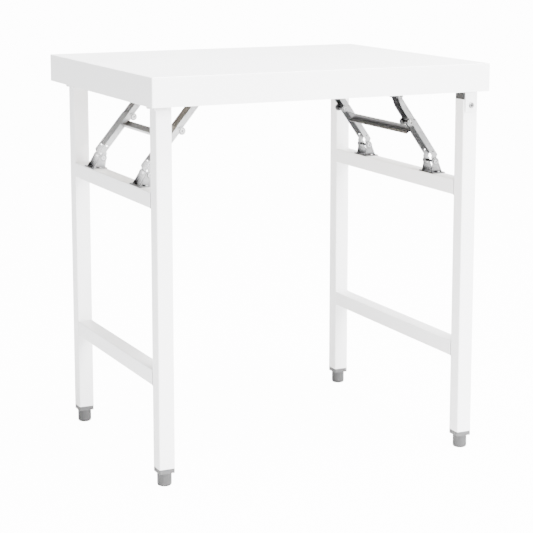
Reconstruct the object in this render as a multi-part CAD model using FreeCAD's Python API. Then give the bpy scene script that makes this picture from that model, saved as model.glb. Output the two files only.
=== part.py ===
# Folding work table: a sheet-covered top with two nested leg frames, each held
# open by a pair of jointed braces. Millimetres, +Z up, -Y is the front, the
# origin is on the floor under the middle of the top.
import math
import os
import FreeCAD, Part
from FreeCAD import Vector

os.makedirs("parts", exist_ok=True)

# Overall sizes
WIDTH, DEPTH, HEIGHT = 810.0, 660.0, 890.0
APRON, SKIN, HEM = 62.5, 1.5, 3.0        # skirt height, sheet gauge, folded hem
BOARD_Z = 866.0                          # underside of the core board
TUBE, WALL, CORNER = 36.0, 1.5, 2.5      # square tube of the legs and crossbars
BAR_H = 35.0                             # height of the crossbar section
LEG_BASE = 40.0                          # lower end of every leg tube
FOOT_H, FOOT_R = 30.0, 16.0
BOLT_R, RIVET_R, RUN = 4.0, 3.0, 0.05    # pin radii and their running clearance
GAP = 0.4                                # side gap between moving plates

# One entry per frame: fold side, leg centre X, leg centre |Y|, pivot X and Z,
# top of the tube, cap height, undersides of the two crossbars.
FRAMES = {
    "left": dict(side=-1, x=-359.0, y=261.0, px=-367.5, pz=831.5, top=839.5, cap=2.0,
                 bars=(604.5, 219.0), depth=15.5),
    "right": dict(side=1, x=361.0, y=303.0, px=361.0, pz=797.0, top=810.0, cap=14.0,
                  bars=(590.0, 214.0), depth=16.0),
}

# One entry per brace pair: lane |Y|, lower rivet, slope, rivet distance of the
# lower arm, then where the top rivet sits along and beside the upper arm.
BRACES = {
    "left": dict(y=147.0, cx=-348.5, cz=664.0, slope=50.0, b=119.0, s=102.59, m=12.0),
    "right": dict(y=160.0, cx=357.0, cz=651.5, slope=55.0, b=115.0, s=69.59, m=12.0),
}
OUT, GAUGE, EDGE = 15.0, 2.0, 1.7        # web face and free edge from the rivet line
LOW_W, UP_W, CLEVIS_W = 19.0, 16.6, 21.6  # half widths of lower arm, upper arm, clevis
ENDS = (("front", -1), ("back", 1))


def box(x0, x1, y0, y1, z0, z1):
    return Part.makeBox(x1 - x0, y1 - y0, z1 - z0, Vector(x0, y0, z0))


def span(y, half):
    return min(y - half, y + half), max(y - half, y + half)


def disc(x, z, r, y0, y1):
    return Part.makeCylinder(r, y1 - y0, Vector(x, y0, z), Vector(0, 1, 0))


def plate(points, y0, y1):
    wire = Part.makePolygon([Vector(x, y0, z) for x, z in points + points[:1]])
    return Part.Face(wire).extrude(Vector(0, y1 - y0, 0))


def round_edges(shape, radius, axis):
    keep = [e for e in shape.Edges if abs(e.tangentAt(e.FirstParameter).dot(axis)) > 0.999]
    return shape.makeFillet(radius, keep)


def tube(x0, x1, y0, y1, z0, z1, axis):
    """Square tube, open at both ends along the given axis."""
    outer = round_edges(box(x0, x1, y0, y1, z0, z1), CORNER, axis)
    grow = Vector(1, 1, 1) - axis
    inner = box(x0 + WALL * grow.x - axis.x, x1 - WALL * grow.x + axis.x,
                y0 + WALL * grow.y - axis.y, y1 - WALL * grow.y + axis.y,
                z0 + WALL * grow.z - axis.z, z1 - WALL * grow.z + axis.z)
    return outer.cut(round_edges(inner, CORNER - WALL, axis))


def fuse(shapes):
    return shapes[0].multiFuse(shapes[1:]).removeSplitter()


def save(name, shapes):
    shape = Part.makeCompound(shapes) if len(shapes) > 1 else shapes[0]
    shape.exportStep("parts/" + name + ".step")


def rivet_head(x, z, y, out, radius=5.5, height=1.8):
    """Hollow rivet head standing off the face at y, pointing out (+1 or -1)."""
    y0, y1 = sorted((y, y + out * height))
    head = disc(x, z, radius, y0, y1)
    rim = [e for e in head.Edges if abs(e.CenterOfMass.y - (y + out * height)) < 0.01]
    head = head.makeFillet(0.7, rim)
    z0, z1 = sorted((y + out * 0.5, y + out * (height + 1)))
    return head.cut(disc(x, z, 2.2, z0, z1))


def pan_screw(x, y, z, length, up=1):
    """Pan-head screw: head below (up=1) or above (up=-1) the seat at z."""
    axis = Vector(0, 0, up)
    head = Part.makeCylinder(4.6, 2.6, Vector(x, y, z - up * 2.6), axis)
    rim = [e for e in head.Edges if abs(e.CenterOfMass.z - (z - up * 2.6)) < 0.01]
    return head.makeFillet(1.0, rim).fuse(Part.makeCylinder(2.2, length, Vector(x, y, z), axis))


# ---- Table top: folded sheet cover and core board ----
top = box(-WIDTH / 2, WIDTH / 2, -DEPTH / 2, DEPTH / 2, HEIGHT - APRON, HEIGHT)
top = round_edges(top, 2.5, Vector(0, 0, 1))
top = top.makeFillet(2.0, [e for e in top.Edges if e.BoundBox.ZMin > HEIGHT - 0.01])
top = top.cut(box(-WIDTH / 2 + SKIN, WIDTH / 2 - SKIN, -DEPTH / 2 + SKIN, DEPTH / 2 - SKIN,
                  HEIGHT - APRON - 1, HEIGHT - SKIN))
hem = box(-WIDTH / 2 + 1, WIDTH / 2 - 1, -DEPTH / 2 + 1, DEPTH / 2 - 1,
          HEIGHT - APRON, HEIGHT - APRON + 10)
hem = hem.cut(box(-WIDTH / 2 + HEM, WIDTH / 2 - HEM, -DEPTH / 2 + HEM, DEPTH / 2 - HEM,
                  HEIGHT - APRON - 1, HEIGHT - APRON + 11))
top = fuse([top, hem])
folded_z = FRAMES["left"]["pz"] + FRAMES["left"]["x"] - FRAMES["left"]["px"]
for end, sign in ENDS:
    y0, y1 = span(sign * FRAMES["left"]["y"], TUBE / 2 + 3)
    top = top.cut(box(WIDTH / 2 - 10, WIDTH / 2 + 10, y0, y1, 800, folded_z + TUBE / 2 + 3))

board = box(-WIDTH / 2 + SKIN, WIDTH / 2 - SKIN, -DEPTH / 2 + SKIN, DEPTH / 2 - SKIN,
            BOARD_Z, HEIGHT - SKIN)
top_screws = []

# ---- Leg frames ----
bolts = []
for side, f in FRAMES.items():
    x, half = f["x"], TUBE / 2
    for end, sign in ENDS:
        yc = sign * f["y"]
        y0, y1 = span(yc, half)

        leg = tube(x - half, x + half, y0, y1, LEG_BASE, f["top"], Vector(0, 0, 1))
        leg = leg.cut(disc(f["px"], f["pz"], BOLT_R + RUN, y0 - 1, y1 + 1))
        save("leg_%s_%s" % (side, end), [leg])

        fit = half - WALL - 0.05
        cap = round_edges(box(x - half, x + half, y0, y1, f["top"], f["top"] + f["cap"]),
                          CORNER, Vector(0, 0, 1))
        plug_top = f["top"] - (3 if side == "right" else 2)
        cap = fuse([cap, box(x - fit + 1, x + fit - 1, yc - fit + 1, yc + fit - 1,
                             plug_top, f["top"])])
        save("leg_cap_%s_%s" % (side, end), [cap])

        plug = round_edges(box(x - half, x + half, y0, y1, FOOT_H, LEG_BASE),
                           CORNER, Vector(0, 0, 1))
        plug = fuse([plug, box(x - fit + 1, x + fit - 1, yc - fit + 1, yc + fit - 1,
                               LEG_BASE, LEG_BASE + 25)])
        plug = plug.cut(Part.makeCylinder(5 + RUN, 200, Vector(x, yc, 0)))
        save("foot_socket_%s_%s" % (side, end), [plug])

        foot = Part.makeCylinder(FOOT_R, FOOT_H - GAP, Vector(x, yc, 0))
        foot = foot.makeFillet(5.0, [e for e in foot.Edges if e.BoundBox.ZMax < 0.01])
        foot = fuse([foot, Part.makeCylinder(5, 62, Vector(x, yc, 0))])
        save("foot_%s_%s" % (side, end), [foot])

        # Bracket: screwed base plate and two cheeks that carry the pivot bolt
        pieces = []
        cheeks = sorted((yc - half - GAP - 3, yc + half + GAP + 3))
        lo = f["pz"] - f["depth"]
        pieces.append(box(f["px"] - 28, f["px"] + 28, cheeks[0], cheeks[1], BOARD_Z - 3, BOARD_Z))
        for yy in (cheeks[0], cheeks[1] - 3):
            cheek = box(f["px"] - 15, f["px"] + 15, yy, yy + 3, lo, BOARD_Z - 1)
            low = [e for e in cheek.Edges if e.BoundBox.ZMax < lo + 0.01
                   and abs(e.tangentAt(e.FirstParameter).y) > 0.99]
            pieces.append(cheek.makeFillet(3.0, low))
        bracket = fuse(pieces)
        bracket = bracket.cut(disc(f["px"], f["pz"], BOLT_R, cheeks[0] - 1, cheeks[1] + 1))
        for dx in (-21, 21):
            for dy in (-10, 10):
                sx, sy = f["px"] + dx, yc + dy
                hole = Part.makeCylinder(2.2, 18, Vector(sx, sy, BOARD_Z - 4))
                bracket, board = bracket.cut(hole), board.cut(hole)
                top_screws.append(pan_screw(sx, sy, BOARD_Z - 3, 16.5))
        save("leg_bracket_%s_%s" % (side, end), [bracket])

        # Pivot bolt: domed head outside, thin nut inside
        bolt = disc(f["px"], f["pz"], BOLT_R, cheeks[0], cheeks[1])
        outer, inner = (cheeks[0], cheeks[1]) if sign < 0 else (cheeks[1], cheeks[0])
        head = rivet_head(f["px"], f["pz"], outer, sign, 6.0, 2.6)
        nut = disc(f["px"], f["pz"], 6.5, *sorted((inner, inner - sign * 2.2)))
        bolts.append(fuse([bolt, head, nut]))

    inner = f["y"] - half
    for label, z in zip(("upper", "lower"), f["bars"]):
        bar = tube(x - half, x + half, -inner, inner, z, z + BAR_H, Vector(0, 1, 0))
        save("crossbar_%s_%s" % (side, label), [bar])
save("pivot_bolts", bolts)

# ---- Braces ----
for side, q in BRACES.items():
    f = FRAMES[side]
    sgn, b = f["side"], q["b"]
    ca, sa = math.cos(math.radians(q["slope"])), math.sin(math.radians(q["slope"]))

    def at(s, m):
        """Point s along the arm from the lower rivet and m out from the rivet line."""
        return (q["cx"] + sgn * (-s * ca + m * sa), q["cz"] + s * sa + m * ca)

    bar_top = f["bars"][0] + BAR_H
    knee, high = at(b, 0), at(b + q["s"], q["m"])
    open_low = side == "left"      # left pair: lower rivet left open
    knee_pins, low_pins, high_pins, clevis_screws = [], [], [], []
    for end, sign in ENDS:
        yc = sign * q["y"]

        # Lower arm: channel with its web outside, ears round the rivets; the left
        # web stops short, because the folded arm lies over the top anchor there
        web_start = 26 if open_low else 10
        solids = [plate([at(web_start, OUT - GAUGE), at(web_start, OUT), at(b - 0.3, OUT),
                         at(b - 0.3, OUT - GAUGE)], yc - LOW_W, yc + LOW_W)]
        for y0 in (yc - LOW_W, yc + LOW_W - GAUGE):
            y1 = y0 + GAUGE
            start = [at(5, -3), at(5, 8), at(10, OUT)]
            solids.append(plate(start + [at(b - 0.3, OUT), at(b - 0.3, EDGE), at(16, EDGE),
                                         at(13, -3)], y0, y1))
            solids.append(disc(*knee, 8.5, y0, y1))
            if not open_low:
                solids.append(disc(q["cx"], q["cz"], 8.0, y0, y1))
        arm = fuse(solids).cut(disc(*knee, RIVET_R, yc - 30, yc + 30))
        arm = arm.cut(disc(*at(b - 92, 9), 1.8, yc - 30, yc + 30))
        if not open_low:
            arm = arm.cut(disc(q["cx"], q["cz"], RIVET_R + RUN, yc - 30, yc + 30))
        save("brace_lower_%s_%s" % (side, end), [arm])

        pin = disc(*knee, RIVET_R, yc - LOW_W, yc + LOW_W)
        knee_pins.append(fuse([pin] + [rivet_head(*knee, yc + o * LOW_W, o) for o in (-1, 1)]))

        # Upper arm: narrower channel that folds into the lower one
        web_end = b + q["s"] - 22 if open_low else b + q["s"] + 3
        solids = [plate([at(b + 0.3, OUT - GAUGE), at(b + 0.3, OUT), at(web_end, OUT),
                         at(web_end, OUT - GAUGE)], yc - UP_W, yc + UP_W)]
        for y0 in (yc - UP_W, yc + UP_W - GAUGE):
            y1 = y0 + GAUGE
            solids.append(plate([at(b + 0.3, EDGE), at(b + 0.3, OUT), at(b + q["s"], OUT),
                                 at(b + q["s"] + 2, 8), at(b + 0.62 * q["s"], EDGE)], y0, y1))
            solids.append(disc(*knee, 8.0, y0, y1))
            solids.append(disc(*high, 7.5, y0, y1))
        arm = fuse(solids).cut(disc(*knee, RIVET_R + RUN, yc - 30, yc + 30))
        arm = arm.cut(disc(*high, RIVET_R + RUN, yc - 30, yc + 30))
        save("brace_upper_%s_%s" % (side, end), [arm])

        # Anchor under the top: inside the left arms, outside the right ones
        wide = UP_W - GAUGE - GAP if open_low else CLEVIS_W
        thick = 2.2
        hx, hz = high
        solids = [box(hx - 9, hx + 22, yc - 24, yc + 24, BOARD_Z - 3, BOARD_Z)]
        for y0 in (yc - wide, yc + wide - thick):
            solids.append(box(hx - 7.5, hx + 7.5, y0, y0 + thick, hz, BOARD_Z - 1))
            solids.append(disc(hx, hz, 7.5, y0, y0 + thick))
        anchor = fuse(solids).cut(disc(hx, hz, RIVET_R, yc - 30, yc + 30))
        for dy in (-8, 8):
            hole = Part.makeCylinder(2.2, 18, Vector(hx + 15, yc + dy, BOARD_Z - 4))
            anchor, board = anchor.cut(hole), board.cut(hole)
            top_screws.append(pan_screw(hx + 15, yc + dy, BOARD_Z - 3, 16.5))
        save("brace_anchor_%s_%s" % (side, end), [anchor])
        if open_low:
            high_pins.append(disc(hx, hz, RIVET_R, yc - UP_W, yc + UP_W))
        else:
            for o in (-1, 1):
                y0, y1 = sorted((yc + o * (wide - thick), yc + o * wide))
                high_pins.append(fuse([disc(hx, hz, RIVET_R, y0, y1),
                                       rivet_head(hx, hz, yc + o * wide, o)]))

        # Clevis: base plate on the crossbar, leaning cheeks outside the arm
        bx = f["x"]
        solids = [box(bx - 17, bx + 17, yc - 31, yc + 31, bar_top, bar_top + 2.5)]
        lobe = 9.0
        for y0 in (yc - CLEVIS_W, yc + CLEVIS_W - 2.2):
            solids.append(plate([(bx - sgn * 15, bar_top), (bx + sgn * 15, bar_top),
                                 at(5, lobe), at(0, -lobe)], y0, y0 + 2.2))
            solids.append(disc(q["cx"], q["cz"], lobe, y0, y0 + 2.2))
        clevis = fuse(solids).cut(disc(q["cx"], q["cz"], RIVET_R, yc - 30, yc + 30))
        for dy in (-26.5, 26.5):
            clevis = clevis.cut(Part.makeCylinder(2.2, 9, Vector(bx, yc + dy, bar_top - 3)))
            clevis_screws.append(pan_screw(bx, yc + dy, bar_top + 2.5, 2.5, -1))
        save("clevis_%s_%s" % (side, end), [clevis])
        if open_low:
            for o in (-1, 1):
                y0, y1 = sorted((yc + o * (CLEVIS_W - 2.2), yc + o * CLEVIS_W))
                low_pins.append(fuse([disc(q["cx"], q["cz"], RIVET_R, y0, y1),
                                      rivet_head(q["cx"], q["cz"], yc + o * CLEVIS_W, o)]))
        else:
            pin = disc(q["cx"], q["cz"], RIVET_R, yc - CLEVIS_W, yc + CLEVIS_W)
            low_pins.append(fuse([pin] + [rivet_head(q["cx"], q["cz"], yc + o * CLEVIS_W, o)
                                          for o in (-1, 1)]))

    save("knee_rivets_" + side, knee_pins)
    save("clevis_rivets_" + side, low_pins)
    save("anchor_rivets_" + side, high_pins)
    save("clevis_screws_" + side, clevis_screws)

    # Tie bar: angle section joining the two lower arms just under the knee
    reach = q["y"] - LOW_W
    lip = (4, OUT) if open_low else (-8, 4)
    tie = fuse([plate([at(b - 32, 2), at(b - 32, 4), at(b - 14, 4), at(b - 14, 2)], -reach, reach),
                plate([at(b - 32, lip[0] - 0.5), at(b - 32, lip[1]), at(b - 30, lip[1]),
                       at(b - 30, lip[0] - 0.5)], -reach, reach)])
    save("tie_bar_" + side, [tie])

save("top_skin", [top])
save("top_board", [board])
save("top_screws", top_screws)
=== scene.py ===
# Folding work table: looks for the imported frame.
import math
import bpy
import bmesh
from mathutils import Matrix, Vector


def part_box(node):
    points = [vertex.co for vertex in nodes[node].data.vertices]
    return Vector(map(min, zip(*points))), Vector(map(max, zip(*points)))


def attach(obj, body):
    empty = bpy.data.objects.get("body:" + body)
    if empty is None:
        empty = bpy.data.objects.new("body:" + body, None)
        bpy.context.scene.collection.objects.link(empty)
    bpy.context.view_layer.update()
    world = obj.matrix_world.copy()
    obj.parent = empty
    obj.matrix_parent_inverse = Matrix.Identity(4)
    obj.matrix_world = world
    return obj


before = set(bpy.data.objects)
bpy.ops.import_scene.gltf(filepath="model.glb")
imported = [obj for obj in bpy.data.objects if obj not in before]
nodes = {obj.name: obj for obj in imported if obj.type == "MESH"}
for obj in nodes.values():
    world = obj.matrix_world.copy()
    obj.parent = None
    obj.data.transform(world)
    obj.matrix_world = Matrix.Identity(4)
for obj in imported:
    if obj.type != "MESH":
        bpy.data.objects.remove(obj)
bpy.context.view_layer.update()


# ---- Painted sheet cover of the top ----
# Folded steel sheet with a deep skirt, wrapped over the core board and sprayed
# satin white. The spray leaves a very fine orange-peel skin and faint clouds.
def noise_group(name, outputs):
    """An empty node group that takes a place on the piece and a pattern scale."""
    group = bpy.data.node_groups.new(name, "ShaderNodeTree")
    group.interface.new_socket("Place", in_out="INPUT", socket_type="NodeSocketVector")
    group.interface.new_socket("Scale", in_out="INPUT", socket_type="NodeSocketFloat")
    group.interface.new_socket("Depth", in_out="INPUT", socket_type="NodeSocketFloat")
    for label, kind in outputs:
        group.interface.new_socket(label, in_out="OUTPUT", socket_type=kind)
    return group, group.nodes.new("NodeGroupInput"), group.nodes.new("NodeGroupOutput")


def spray_skin():
    """Orange-peel relief and soft clouds of sprayed paint."""
    group, start, end = noise_group("spray_skin", (("Cloud", "NodeSocketFloat"),
                                                   ("Normal", "NodeSocketVector")))
    new, link = group.nodes.new, group.links.new
    peel = new("ShaderNodeTexNoise")
    peel.inputs["Detail"].default_value = 2.0
    link(start.outputs["Place"], peel.inputs["Vector"])
    link(start.outputs["Scale"], peel.inputs["Scale"])
    bump = new("ShaderNodeBump")
    bump.inputs["Distance"].default_value = 0.0002
    link(start.outputs["Depth"], bump.inputs["Strength"])
    link(peel.outputs["Fac"], bump.inputs["Height"])
    cloud = new("ShaderNodeTexNoise")
    cloud.inputs["Scale"].default_value = 5.0
    cloud.inputs["Detail"].default_value = 5.0
    link(start.outputs["Place"], cloud.inputs["Vector"])
    link(cloud.outputs["Fac"], end.inputs["Cloud"])
    link(bump.outputs["Normal"], end.inputs["Normal"])
    return group


spray = spray_skin()


def mottled(name, skin_group, mask, scale, depth, dark, light):
    """A material of two close shades, mixed by a mask of its skin group."""
    mat = bpy.data.materials.new(name)
    mat.use_nodes = True
    tree = mat.node_tree
    shader = tree.nodes["Principled BSDF"]
    place = tree.nodes.new("ShaderNodeTexCoord")
    skin = tree.nodes.new("ShaderNodeGroup")
    skin.node_tree = skin_group
    skin.inputs["Scale"].default_value = scale
    skin.inputs["Depth"].default_value = depth
    shade = tree.nodes.new("ShaderNodeMix")
    shade.data_type = "RGBA"
    shade.inputs["A"].default_value = (*dark, 1)
    shade.inputs["B"].default_value = (*light, 1)
    tree.links.new(place.outputs["Object"], skin.inputs["Place"])
    tree.links.new(skin.outputs[mask], shade.inputs["Factor"])
    tree.links.new(shade.outputs["Result"], shader.inputs["Base Color"])
    tree.links.new(skin.outputs["Normal"], shader.inputs["Normal"])
    return mat, shader, skin, shade


def vary_gloss(mat, shader, mask, smooth, rough):
    """Let the mask vary the roughness between two values."""
    tree = mat.node_tree
    gloss = tree.nodes.new("ShaderNodeMapRange")
    gloss.inputs["To Min"].default_value = smooth
    gloss.inputs["To Max"].default_value = rough
    tree.links.new(mask, gloss.inputs["Value"])
    tree.links.new(gloss.outputs["Result"], shader.inputs["Roughness"])


def painted(name, dark, light, rough):
    """Satin paint, its shade and gloss drifting with the spray's clouds."""
    mat, shader, skin, _ = mottled(name, spray, "Cloud", 420.0, 0.12, dark, light)
    vary_gloss(mat, shader, skin.outputs["Cloud"], rough - 0.06, rough + 0.06)
    shader.inputs["Specular IOR Level"].default_value = 0.4
    return mat


def finish(piece, material):
    """Give a piece its one material."""
    piece.data.materials.clear()
    piece.data.materials.append(material)


top_paint = painted("top_paint", (0.84, 0.84, 0.845), (0.88, 0.88, 0.885), 0.38)
finish(nodes["top_skin"], top_paint)


# ---- Core board ----
# Pressed wood-fibre board glued inside the cover, seen only from below. Its
# raw underside is pale, with fine fibre flecks.
def fibre_board():
    """Pale board with fibre flecks drawn out along Y."""
    mat = bpy.data.materials.new("fibre_board")
    mat.use_nodes = True
    tree = mat.node_tree
    shader = tree.nodes["Principled BSDF"]
    place = tree.nodes.new("ShaderNodeTexCoord")
    stretch = tree.nodes.new("ShaderNodeMapping")
    stretch.inputs["Scale"].default_value = (1.0, 3.5, 1.0)
    fleck = tree.nodes.new("ShaderNodeTexNoise")
    fleck.inputs["Scale"].default_value = 130.0
    fleck.inputs["Detail"].default_value = 7.0
    ramp = tree.nodes.new("ShaderNodeValToRGB")
    ramp.color_ramp.elements[0].position = 0.3
    ramp.color_ramp.elements[0].color = (0.46, 0.40, 0.32, 1)
    ramp.color_ramp.elements[1].position = 0.7
    ramp.color_ramp.elements[1].color = (0.64, 0.57, 0.47, 1)
    bump = tree.nodes.new("ShaderNodeBump")
    bump.inputs["Strength"].default_value = 0.3
    bump.inputs["Distance"].default_value = 0.0004
    tree.links.new(place.outputs["Object"], stretch.inputs["Vector"])
    tree.links.new(stretch.outputs["Vector"], fleck.inputs["Vector"])
    tree.links.new(fleck.outputs["Fac"], ramp.inputs["Fac"])
    tree.links.new(ramp.outputs["Color"], shader.inputs["Base Color"])
    tree.links.new(fleck.outputs["Fac"], bump.inputs["Height"])
    tree.links.new(bump.outputs["Normal"], shader.inputs["Normal"])
    shader.inputs["Roughness"].default_value = 0.8
    return mat


finish(nodes["top_board"], fibre_board())


# ---- Leg frames and their brackets ----
# Square steel tube, sprayed with the same white paint as the top. The brackets
# are bent from thicker plate, screwed to the board, and their thinner coat
# leaves them a shade greyer.
tube_paint = painted("tube_paint", (0.82, 0.82, 0.83), (0.87, 0.87, 0.88), 0.34)
bracket_paint = painted("bracket_paint", (0.70, 0.70, 0.71), (0.78, 0.78, 0.79), 0.42)
for side in ("left", "right"):
    for end in ("front", "back"):
        finish(nodes["leg_%s_%s" % (side, end)], tube_paint)
        finish(nodes["leg_bracket_%s_%s" % (side, end)], bracket_paint)
    for level in ("upper", "lower"):
        finish(nodes["crossbar_%s_%s" % (side, level)], tube_paint)


# ---- Weld beads of the crossbars ----
# Each crossbar is welded all round to the inside faces of its legs, and the
# bead is dressed almost flat before painting.
bead_stand, bead_width = 0.0009, 0.0024
bar_corner, bead_round = 0.0032, 0.0008
for side in ("left", "right"):
    bm = bmesh.new()
    for level in ("upper", "lower"):
        low, high = (Vector(p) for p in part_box("crossbar_%s_%s" % (side, level)))
        for y, inward in ((low.y, 1), (high.y, -1)):
            made = bmesh.ops.create_cube(bm, size=1.0)["verts"]
            size = Vector((high.x - low.x + 2 * bead_stand, bead_width,
                           high.z - low.z + 2 * bead_stand))
            bmesh.ops.scale(bm, vec=size, verts=made)
            middle = (low + high) / 2
            middle.y = y + inward * bead_width / 2
            bmesh.ops.translate(bm, vec=middle, verts=made)
            edges = list({e for v in made for e in v.link_edges})
            along = [e for e in edges if abs((e.verts[0].co - e.verts[1].co).y) > 1e-4]
            rounded = bmesh.ops.bevel(bm, geom=along, offset=bar_corner, segments=4,
                                      affect="EDGES", profile=0.5, material=-1)
            own = set(rounded["verts"]) | set(made)
            rim = [e for e in bm.edges if own.issuperset(e.verts)
                   and abs((e.verts[0].co - e.verts[1].co).y) < 1e-5]
            bmesh.ops.bevel(bm, geom=rim, offset=bead_round, segments=2,
                            affect="EDGES", profile=0.5, material=-1)
    bmesh.ops.recalc_face_normals(bm, faces=bm.faces)
    mesh = bpy.data.meshes.new("weld_beads_" + side)
    bm.to_mesh(mesh)
    bm.free()
    beads = bpy.data.objects.new("weld_beads_" + side, mesh)
    bpy.context.collection.objects.link(beads)
    finish(beads, tube_paint)
    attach(beads, side + "_frame")


# ---- Plastic end caps, foot sockets and feet ----
# Injection-moulded plastic with a fine spark-etched grain: black caps pushed into
# the leg tops, mid-grey sockets pushed in below, and the feet screwed into those.
def moulded(name, colour, rough):
    """Plastic of one colour, a little darker and lighter in patches."""
    dark, light = ([c * share for c in colour] for share in (0.85, 1.15))
    mat, shader, _, _ = mottled(name, spray, "Cloud", 1800.0, 0.35, dark, light)
    shader.inputs["Roughness"].default_value = rough
    return mat


cap_black = moulded("cap_black", (0.012, 0.012, 0.012), 0.55)
foot_grey = moulded("foot_grey", (0.045, 0.045, 0.046), 0.5)
socket_grey = moulded("socket_grey", (0.07, 0.07, 0.071), 0.5)
for side in ("left", "right"):
    for end in ("front", "back"):
        finish(nodes["leg_cap_%s_%s" % (side, end)], cap_black)
        finish(nodes["foot_socket_%s_%s" % (side, end)], socket_grey)
        finish(nodes["foot_%s_%s" % (side, end)], foot_grey)


# ---- Braces, tie bars, clevises and anchors ----
# Pressed from bright zinc-plated strip, riveted together and screwed to the
# crossbars and the board. Rolling leaves fine lines, the plating a mottled shine.
def rolled_metal():
    """Rolling lines as relief, and the plating's mottle."""
    group, start, end = noise_group("rolled_metal", (("Mottle", "NodeSocketFloat"),
                                                     ("Normal", "NodeSocketVector")))
    new, link = group.nodes.new, group.links.new
    stretch = new("ShaderNodeMapping")
    stretch.inputs["Scale"].default_value = (1.0, 14.0, 1.0)
    link(start.outputs["Place"], stretch.inputs["Vector"])
    lines = new("ShaderNodeTexNoise")
    lines.inputs["Detail"].default_value = 3.0
    link(stretch.outputs["Vector"], lines.inputs["Vector"])
    link(start.outputs["Scale"], lines.inputs["Scale"])
    bump = new("ShaderNodeBump")
    bump.inputs["Distance"].default_value = 0.0001
    link(start.outputs["Depth"], bump.inputs["Strength"])
    link(lines.outputs["Fac"], bump.inputs["Height"])
    mottle = new("ShaderNodeTexNoise")
    mottle.inputs["Scale"].default_value = 60.0
    mottle.inputs["Detail"].default_value = 6.0
    link(start.outputs["Place"], mottle.inputs["Vector"])
    link(mottle.outputs["Fac"], end.inputs["Mottle"])
    link(bump.outputs["Normal"], end.inputs["Normal"])
    return group


rolled = rolled_metal()


def plated_with_painted_shade(name, dark, light, rough, painted_shade, axis="Y", band=(0.3, 0.8), reach=0.01):
    """Zinc-plated steel with painted shade. Faces across the axis keep the plated
    colour; other faces, and creases within reach as found by an occlusion test,
    are painted toward the painted shade colour. The band sets how far a face may turn from
    the axis before it is painted dark."""
    mat, shader, skin, shade = mottled(name, rolled, "Mottle", 160.0, 0.3, dark, light)
    vary_gloss(mat, shader, skin.outputs["Mottle"], rough - 0.08, rough + 0.12)
    shader.inputs["Metallic"].default_value = 1.0
    tree = mat.node_tree

    # Painted shade: an occlusion test darkens creases and hollows toward the painted shade
    # colour.
    crease_shade = tree.nodes.new("ShaderNodeAmbientOcclusion")
    crease_shade.samples = 8
    crease_shade.inputs["Distance"].default_value = reach
    place = tree.nodes.new("ShaderNodeTexCoord")
    facing = tree.nodes.new("ShaderNodeSeparateXYZ")
    across = tree.nodes.new("ShaderNodeMath")
    across.operation = "ABSOLUTE"
    tree.links.new(place.outputs["Normal"], facing.inputs["Vector"])
    tree.links.new(facing.outputs[axis], across.inputs[0])

    # Painted shade: the colour is darkened in creases and on faces turned away from the
    # axis, as if out of the light.
    colour = shade.outputs["Result"]
    for mask, (low, high) in ((crease_shade.outputs["AO"], (0.25, 0.9)),
                              (across.outputs["Value"], band)):
        unshaded_share = tree.nodes.new("ShaderNodeMapRange")
        unshaded_share.inputs["From Min"].default_value = low
        unshaded_share.inputs["From Max"].default_value = high
        shaded_colour = tree.nodes.new("ShaderNodeMix")
        shaded_colour.data_type = "RGBA"
        shaded_colour.inputs["A"].default_value = (*painted_shade, 1)
        tree.links.new(mask, unshaded_share.inputs["Value"])
        tree.links.new(unshaded_share.outputs["Result"], shaded_colour.inputs["Factor"])
        tree.links.new(colour, shaded_colour.inputs["B"])
        colour = shaded_colour.outputs["Result"]
    tree.links.new(colour, shader.inputs["Base Color"])
    return mat


# The last colour in each call below is a painted shade, put on creases and on faces turned
# off the axis. The upper arms get the darkest and the lower arms a lighter one, standing
# in for the shade under the top and inside the channels.
bright = (0.19, 0.19, 0.192), (0.36, 0.36, 0.364)
strips = {
    "brace_upper": plated_with_painted_shade("upper_arm_zinc_painted_shade", *bright, 0.32, (0.03, 0.03, 0.031)),
    "brace_lower": plated_with_painted_shade("lower_arm_zinc_painted_shade", *bright, 0.32, (0.13, 0.13, 0.132)),
    "clevis": plated_with_painted_shade("clevis_zinc_painted_shade", (0.14, 0.14, 0.142), (0.34, 0.34, 0.344), 0.26,
                     (0.015, 0.015, 0.016), reach=0.03),
    "brace_anchor": plated_with_painted_shade("anchor_zinc_painted_shade", *bright, 0.35, (0.05, 0.05, 0.051)),
}
# The tie bar's painted shade falls on every face not turned up or down.
tie_zinc_shaded = plated_with_painted_shade("tie_bar_zinc_painted_shade", *bright, 0.30, (0.045, 0.045, 0.046),
                  axis="Z", band=(0.66, 0.74))
for side in ("left", "right"):
    finish(nodes["tie_bar_" + side], tie_zinc_shaded)
    for piece, metal in strips.items():
        for end in ("front", "back"):
            finish(nodes["%s_%s_%s" % (piece, side, end)], metal)


# ---- Rivets, pivot bolts and screws ----
# Polished steel rivets with open centres, domed pivot bolts and pan-head
# screws, brighter than the plated strip round them.
# Painted shade: the hollow centres of the rivets and the faces turned off the Y axis are
# darkened toward a near-black colour.
polished_shaded = plated_with_painted_shade("polished_steel_painted_shade", (0.30, 0.30, 0.303), (0.50, 0.50, 0.505), 0.22,
                  (0.012, 0.012, 0.013), reach=0.004)
finish(nodes["top_screws"], polished_shaded)
finish(nodes["pivot_bolts"], polished_shaded)
for side in ("left", "right"):
    for fixing in ("anchor_rivets", "clevis_rivets", "clevis_screws", "knee_rivets"):
        finish(nodes["%s_%s" % (fixing, side)], polished_shaded)


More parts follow.
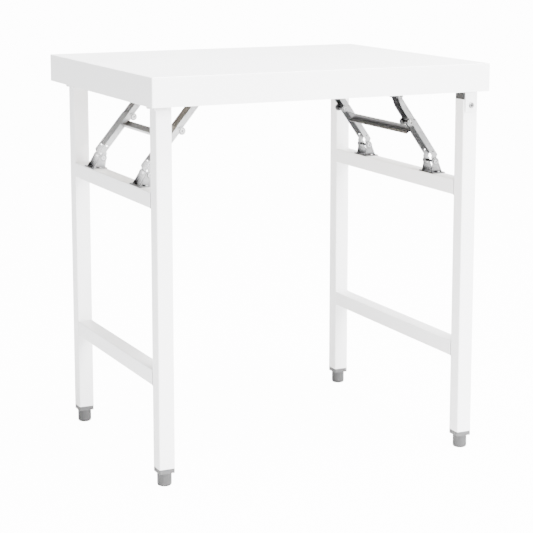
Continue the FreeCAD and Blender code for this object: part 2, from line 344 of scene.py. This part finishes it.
# ---- Floor ----
# A plain pale studio floor, wide enough to fill the view behind the table. It
# glows to the viewer only, so that it reads as white without lighting the table.
half_floor, floor_drop = 60.0, 0.0005
bm = bmesh.new()
bmesh.ops.create_grid(bm, x_segments=2, y_segments=2, size=half_floor)
mesh = bpy.data.meshes.new("studio_floor")
bm.to_mesh(mesh)
bm.free()
floor = bpy.data.objects.new("studio_floor", mesh)
bpy.context.collection.objects.link(floor)
floor.location.z = -floor_drop
floor_white = painted("floor_white", (0.93, 0.93, 0.93), (0.95, 0.95, 0.95), 0.9)
tree = floor_white.node_tree
glow = tree.nodes.new("ShaderNodeEmission")
glow.inputs["Strength"].default_value = 16.0
seen = tree.nodes.new("ShaderNodeLightPath")
share = tree.nodes.new("ShaderNodeMath")
share.operation = "MULTIPLY"
share.inputs[1].default_value = 0.85
both = tree.nodes.new("ShaderNodeMixShader")
tree.links.new(seen.outputs["Is Camera Ray"], share.inputs[0])
tree.links.new(share.outputs["Value"], both.inputs["Fac"])
tree.links.new(tree.nodes["Principled BSDF"].outputs["BSDF"], both.inputs[1])
tree.links.new(glow.outputs["Emission"], both.inputs[2])
tree.links.new(both.outputs["Shader"], tree.nodes["Material Output"].inputs["Surface"])
finish(floor, floor_white)


# ---- Studio light ----
# A bright even room with two broad soft panels, one overhead and one in front,
# so that the top is brightest and shadows stay faint.
world = bpy.data.worlds.new("studio_room")
bpy.context.scene.world = world
world.use_nodes = True
world.node_tree.nodes["Background"].inputs["Color"].default_value = (1, 1, 1, 1)
world.node_tree.nodes["Background"].inputs["Strength"].default_value = 1.9


def panel(name, place, aim, power):
    """A round soft panel at a place, turned to its aim."""
    light = bpy.data.lights.new(name, "AREA")
    light.shape = "DISK"
    light.size = 2.4
    light.energy = power
    lamp = bpy.data.objects.new(name, light)
    lamp.location = place
    lamp.rotation_euler = (Vector(aim) - Vector(place)).to_track_quat("-Z", "Y").to_euler()
    bpy.context.collection.objects.link(lamp)


panel("overhead_panel", (0.6, -0.8, 4.2), (0, 0, 0.6), 900)
panel("front_panel", (1.2, -4.6, 2.2), (0, 0, 0.5), 800)


# ---- Camera ----
# Stands to the front left and a little above the top, looking slightly down,
# with a long lens and a small shift that keeps the legs nearly upright.
camera = bpy.data.cameras.new("camera")
camera.sensor_width = 36.0
camera.lens = 112.2957
camera.shift_y = -0.124765
camera.clip_end = 200.0
viewer = bpy.data.objects.new("camera", camera)
turn, tilt = math.radians(25.33), math.radians(9.54)
viewer.matrix_world = (Matrix.Translation((-1.6334, -3.4692, 1.2037))
                       @ Matrix.Rotation(-turn, 4, "Z")
                       @ Matrix.Rotation(math.pi / 2 - tilt, 4, "X"))
bpy.context.collection.objects.link(viewer)
bpy.context.scene.camera = viewer
